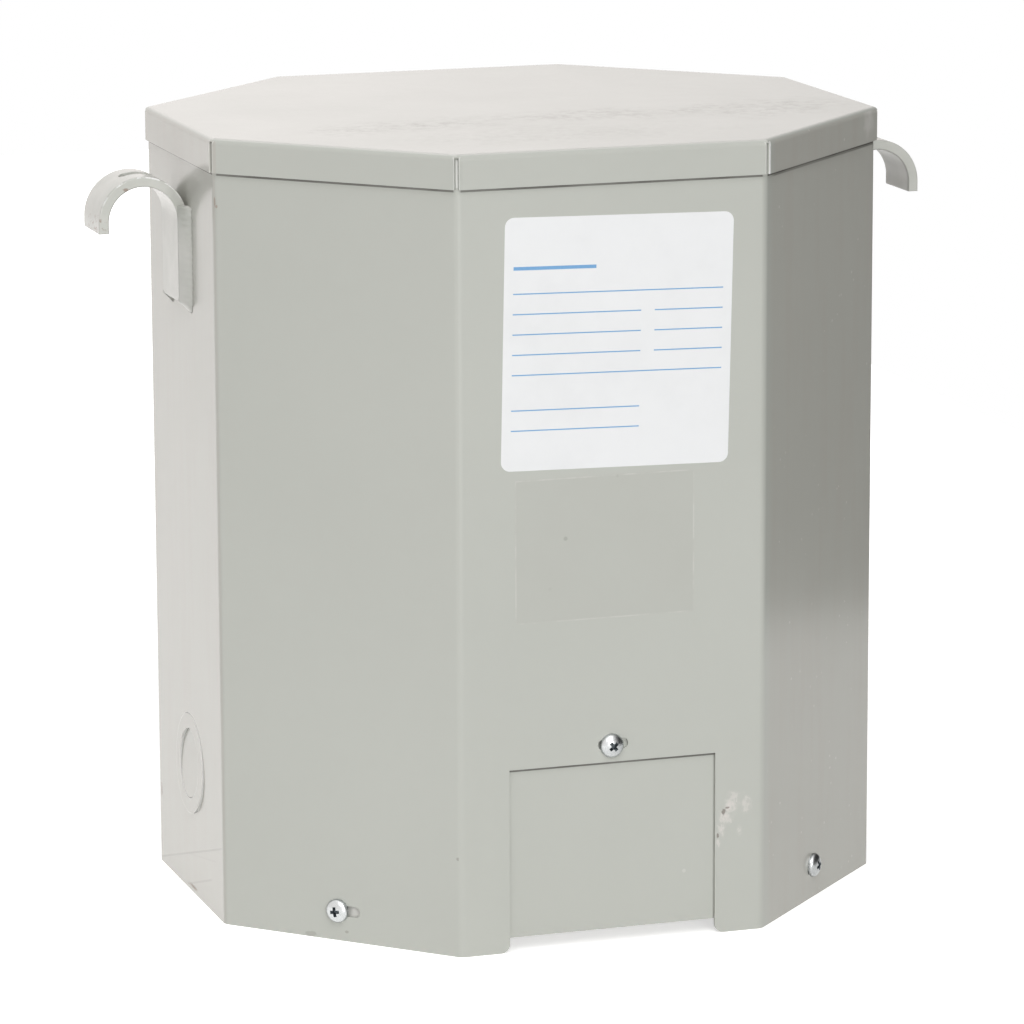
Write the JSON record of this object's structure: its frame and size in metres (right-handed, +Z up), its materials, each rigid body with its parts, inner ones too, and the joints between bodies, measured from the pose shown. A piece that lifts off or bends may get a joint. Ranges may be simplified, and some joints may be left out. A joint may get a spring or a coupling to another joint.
{
  "type": "general purpose transformer",
  "caption": "Potted dry-type transformer in an eight-sided grey sheet-metal case with a pan lid, wrapped front shell, side knockouts and welded lifting hooks.",
  "frame": {"origin": "centre of the footprint on the floor", "axes": "+Z up, front face towards -Y, hooks on the -X and +X sides"},
  "size_m": [0.4246, 0.3104, 0.386],
  "materials": {
    "case_paint": "satin",
    "potting": "matte",
    "zinc": "brushed",
    "label_film": "satin"
  },
  "bodies": {
    "root": {"lid": "case_paint", "front_shell": "case_paint", "back_shell": "case_paint", "access_plate": "case_paint", "bottom_pan": "case_paint", "potted_core": "potting", "left_knockout_ring": "case_paint", "left_knockout_disc": "case_paint", "left_hook": "case_paint", "left_hook_front_weld": "case_paint", "left_hook_rear_weld": "case_paint", "right_knockout_ring": "case_paint", "right_knockout_disc": "case_paint", "right_hook": "case_paint", "right_hook_front_weld": "case_paint", "right_hook_rear_weld": "case_paint", "upper_wall_strap": "case_paint", "lower_wall_strap": "case_paint"}
  },
  "joints": []
}
